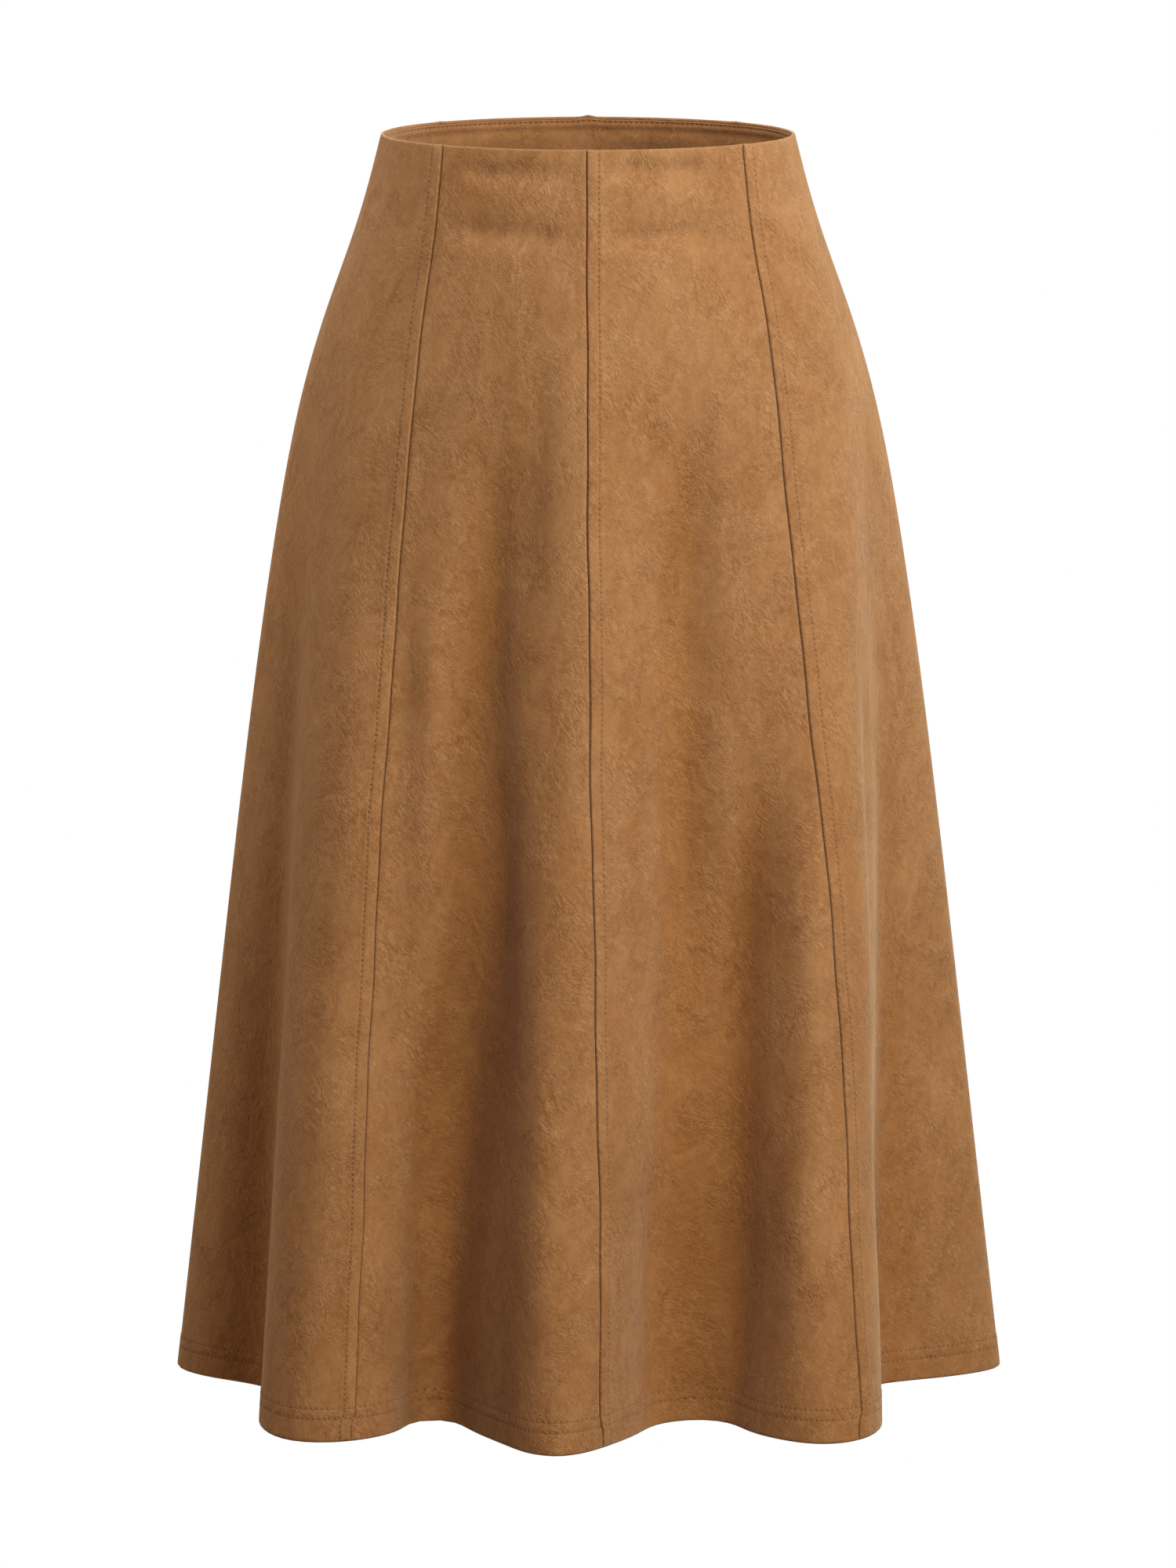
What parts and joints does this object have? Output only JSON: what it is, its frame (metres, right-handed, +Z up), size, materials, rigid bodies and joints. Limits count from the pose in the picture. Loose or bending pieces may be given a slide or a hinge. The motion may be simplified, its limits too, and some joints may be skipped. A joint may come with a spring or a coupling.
{
  "type": "a-line skirt",
  "caption": "High-waisted A-line midi skirt of suede-look cloth in its worn shape, hollow, with gored panels, soft hem folds and no visible closure.",
  "frame": {"origin": "the centre of the waist opening, level with the top edge at the sides", "axes": "+Z up the standing skirt, -Y towards the front, +X to the viewer's right as the front is seen"},
  "size_m": [0.499, 0.3874, 0.7555],
  "materials": {
    "suede_face": "matte brushed faux suede, tan, with a short nap",
    "suede_facing": "matte faux suede facing, tan",
    "thread": "matt polyester thread, one shade darker than the cloth"
  },
  "bodies": {
    "root": {"gore_front_side_left": "suede_face", "gore_front_center_left": "suede_face", "gore_front_center_right": "suede_face", "gore_front_side_right": "suede_face", "gore_back_side_right": "suede_face", "gore_back_center_right": "suede_face", "gore_back_center_left": "suede_face", "gore_back_side_left": "suede_face", "facing_front": "suede_facing", "facing_back": "suede_facing"}
  },
  "joints": []
}
